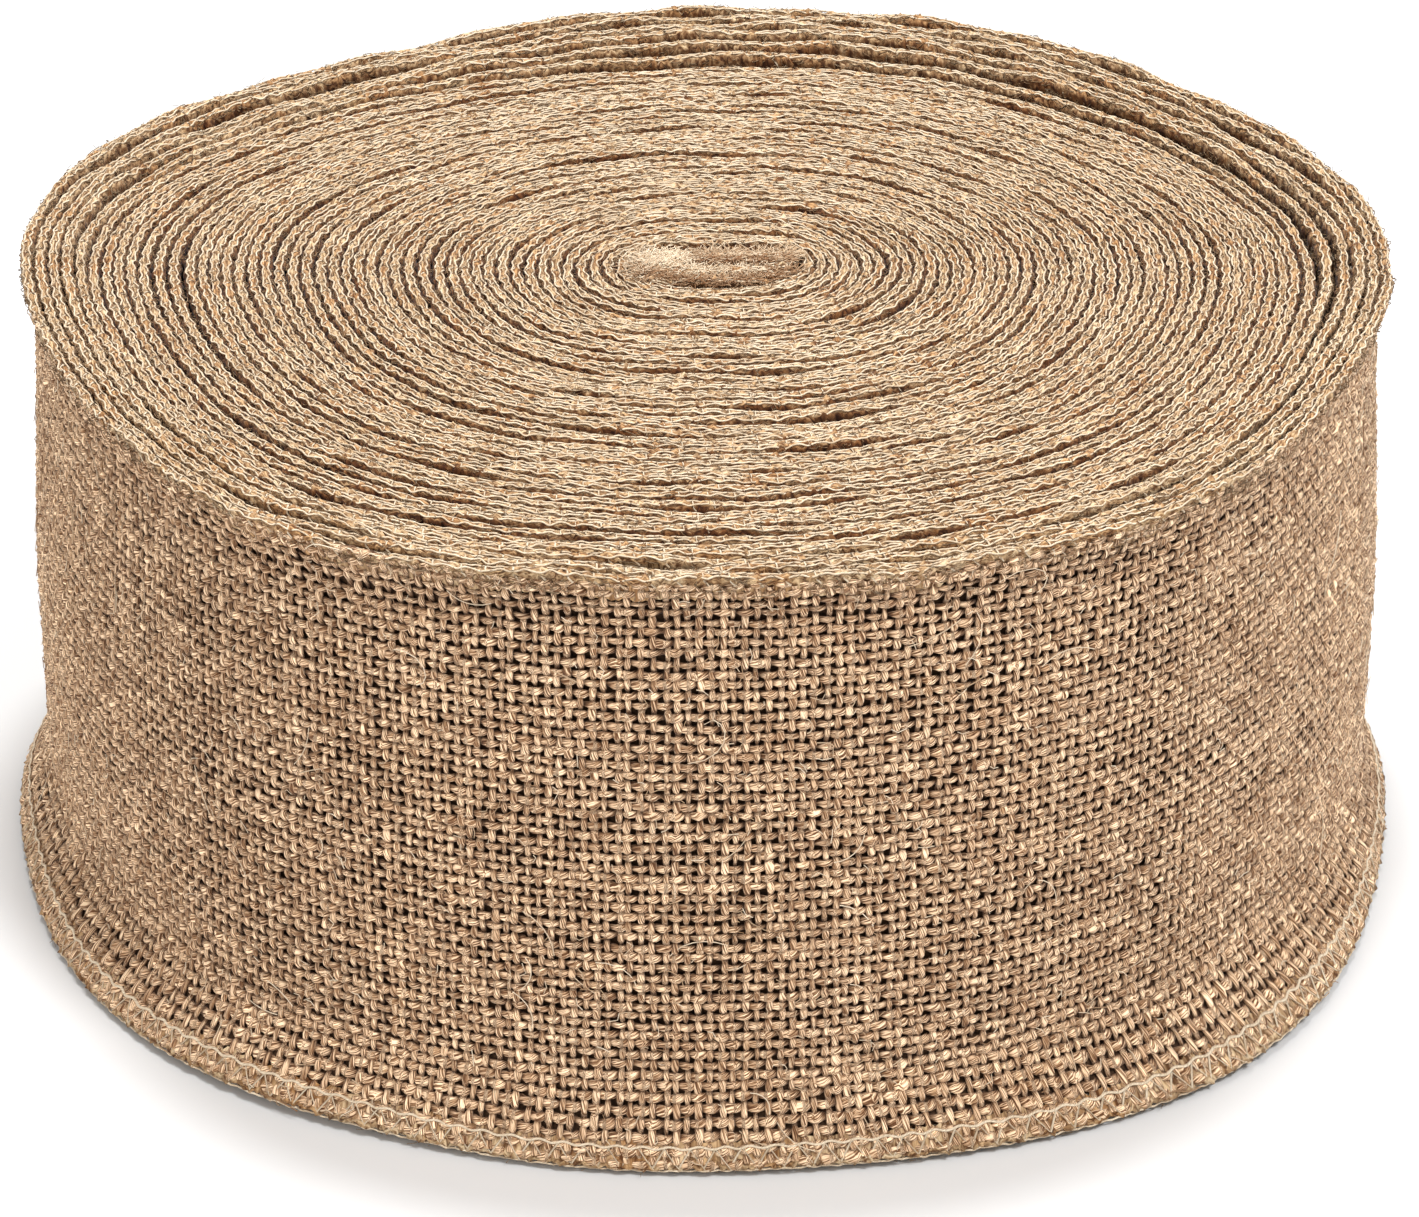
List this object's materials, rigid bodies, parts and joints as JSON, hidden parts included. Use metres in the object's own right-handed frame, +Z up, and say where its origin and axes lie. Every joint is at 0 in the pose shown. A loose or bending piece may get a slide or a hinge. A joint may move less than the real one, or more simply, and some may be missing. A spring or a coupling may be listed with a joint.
{
  "type": "burlap ribbon roll",
  "caption": "Coreless roll of natural burlap ribbon with cream overlocked edges, wound on a folded inner end, standing on one face; its turns telescope and its free end peels off.",
  "frame": {"origin": "centre of the bottom face, on the surface that the roll stands on", "axes": "+Z up along the winding axis; +X to the right across the roll's widest side, parallel to the folded inner end's plies; the ribbon is wound anticlockwise seen from above and its free end lies at the back (+Y)"},
  "size_m": [0.281, 0.2802, 0.127],
  "materials": {
    "burlap": "open plain weave of slubby natural jute yarn",
    "overlocked_hem": "soft cream spun thread looped over the cloth's edge"
  },
  "bodies": {
    "coil_1": {"folded_end_web": "burlap", "folded_end_top_hem": "overlocked_hem", "folded_end_bottom_hem": "overlocked_hem", "coil_1_web": "burlap", "coil_1_top_hem": "overlocked_hem", "coil_1_bottom_hem": "overlocked_hem"},
    "coil_2": {"coil_2_web": "burlap", "coil_2_top_hem": "overlocked_hem", "coil_2_bottom_hem": "overlocked_hem"},
    "coil_3": {"coil_3_web": "burlap", "coil_3_top_hem": "overlocked_hem", "coil_3_bottom_hem": "overlocked_hem"},
    "coil_4": {"coil_4_web": "burlap", "coil_4_top_hem": "overlocked_hem", "coil_4_bottom_hem": "overlocked_hem"},
    "coil_5": {"coil_5_web": "burlap", "coil_5_top_hem": "overlocked_hem", "coil_5_bottom_hem": "overlocked_hem"},
    "coil_6": {"coil_6_web": "burlap", "coil_6_top_hem": "overlocked_hem", "coil_6_bottom_hem": "overlocked_hem"},
    "coil_7": {"coil_7_web": "burlap", "coil_7_top_hem": "overlocked_hem", "coil_7_bottom_hem": "overlocked_hem"},
    "coil_8": {"coil_8_web": "burlap", "coil_8_top_hem": "overlocked_hem", "coil_8_bottom_hem": "overlocked_hem"},
    "coil_9": {"coil_9_web": "burlap", "coil_9_top_hem": "overlocked_hem", "coil_9_bottom_hem": "overlocked_hem"},
    "tail_1": {"tail_1_web": "burlap", "tail_1_top_hem": "overlocked_hem", "tail_1_bottom_hem": "overlocked_hem"},
    "tail_2": {"tail_2_web": "burlap", "tail_2_top_hem": "overlocked_hem", "tail_2_bottom_hem": "overlocked_hem"},
    "tail_3": {"tail_3_web": "burlap", "tail_3_top_hem": "overlocked_hem", "tail_3_bottom_hem": "overlocked_hem"},
    "tail_4": {"tail_4_web": "burlap", "tail_4_top_hem": "overlocked_hem", "tail_4_bottom_hem": "overlocked_hem"},
    "tail_5": {"tail_5_web": "burlap", "tail_5_top_hem": "overlocked_hem", "tail_5_bottom_hem": "overlocked_hem"},
    "tail_6": {"tail_6_web": "burlap", "tail_6_top_hem": "overlocked_hem", "tail_6_bottom_hem": "overlocked_hem"},
    "tail_7": {"tail_7_web": "burlap", "tail_7_top_hem": "overlocked_hem", "tail_7_bottom_hem": "overlocked_hem"},
    "tail_8": {"tail_8_web": "burlap", "tail_8_top_hem": "overlocked_hem", "tail_8_bottom_hem": "overlocked_hem"}
  },
  "joints": [
    {"name": "coil_8_rise", "type": "slide", "parent": "coil_9", "child": "coil_8", "axis": [0, 0, 1], "range_m": [0, 0.006]},
    {"name": "coil_7_rise", "type": "slide", "parent": "coil_8", "child": "coil_7", "axis": [0, 0, 1], "range_m": [0, 0.006]},
    {"name": "coil_6_rise", "type": "slide", "parent": "coil_7", "child": "coil_6", "axis": [0, 0, 1], "range_m": [0, 0.006]},
    {"name": "coil_5_rise", "type": "slide", "parent": "coil_6", "child": "coil_5", "axis": [0, 0, 1], "range_m": [0, 0.006]},
    {"name": "coil_4_rise", "type": "slide", "parent": "coil_5", "child": "coil_4", "axis": [0, 0, 1], "range_m": [0, 0.006]},
    {"name": "coil_3_rise", "type": "slide", "parent": "coil_4", "child": "coil_3", "axis": [0, 0, 1], "range_m": [0, 0.006]},
    {"name": "coil_2_rise", "type": "slide", "parent": "coil_3", "child": "coil_2", "axis": [0, 0, 1], "range_m": [0, 0.006]},
    {"name": "coil_1_rise", "type": "slide", "parent": "coil_2", "child": "coil_1", "axis": [0, 0, 1], "range_m": [0, 0.006]},
    {"name": "tail_1_peel", "type": "hinge", "parent": "coil_9", "child": "tail_1", "pos_m": [0.1405, 0, 0.0635], "axis": [0, 0, 1], "range_deg": [-20, 0]},
    {"name": "tail_2_peel", "type": "hinge", "parent": "tail_1", "child": "tail_2", "pos_m": [0.13205, 0.04793, 0.0635], "axis": [0, 0, 1], "range_deg": [-20, 0]},
    {"name": "tail_3_peel", "type": "hinge", "parent": "tail_2", "child": "tail_3", "pos_m": [0.10771, 0.09008, 0.0635], "axis": [0, 0, 1], "range_deg": [-20, 0]},
    {"name": "tail_4_peel", "type": "hinge", "parent": "tail_3", "child": "tail_4", "pos_m": [0.07043, 0.12136, 0.0635], "axis": [0, 0, 1], "range_deg": [-20, 0]},
    {"name": "tail_5_peel", "type": "hinge", "parent": "tail_4", "child": "tail_5", "pos_m": [0.0247, 0.13801, 0.0635], "axis": [0, 0, 1], "range_deg": [-20, 0]},
    {"name": "tail_6_peel", "type": "hinge", "parent": "tail_5", "child": "tail_6", "pos_m": [-0.02727, 0.13799, 0.0635], "axis": [0, 0, 1], "range_deg": [-20, 0]},
    {"name": "tail_7_peel", "type": "hinge", "parent": "tail_6", "child": "tail_7", "pos_m": [-0.07345, 0.12118, 0.0635], "axis": [0, 0, 1], "range_deg": [-20, 0]},
    {"name": "tail_8_peel", "type": "hinge", "parent": "tail_7", "child": "tail_8", "pos_m": [-0.11109, 0.08959, 0.0635], "axis": [0, 0, 1], "range_deg": [-20, 0]}
  ],
  "couplings": [
    {"joint": "coil_7_rise", "follows": "coil_8_rise", "ratio": 1},
    {"joint": "coil_6_rise", "follows": "coil_8_rise", "ratio": 1},
    {"joint": "coil_5_rise", "follows": "coil_8_rise", "ratio": 1},
    {"joint": "coil_4_rise", "follows": "coil_8_rise", "ratio": 1},
    {"joint": "coil_3_rise", "follows": "coil_8_rise", "ratio": 1},
    {"joint": "coil_2_rise", "follows": "coil_8_rise", "ratio": 1},
    {"joint": "coil_1_rise", "follows": "coil_8_rise", "ratio": 1},
    {"joint": "tail_2_peel", "follows": "tail_1_peel", "ratio": 1},
    {"joint": "tail_3_peel", "follows": "tail_1_peel", "ratio": 1},
    {"joint": "tail_4_peel", "follows": "tail_1_peel", "ratio": 1},
    {"joint": "tail_5_peel", "follows": "tail_1_peel", "ratio": 1},
    {"joint": "tail_6_peel", "follows": "tail_1_peel", "ratio": 1},
    {"joint": "tail_7_peel", "follows": "tail_1_peel", "ratio": 1},
    {"joint": "tail_8_peel", "follows": "tail_1_peel", "ratio": 1}
  ]
}
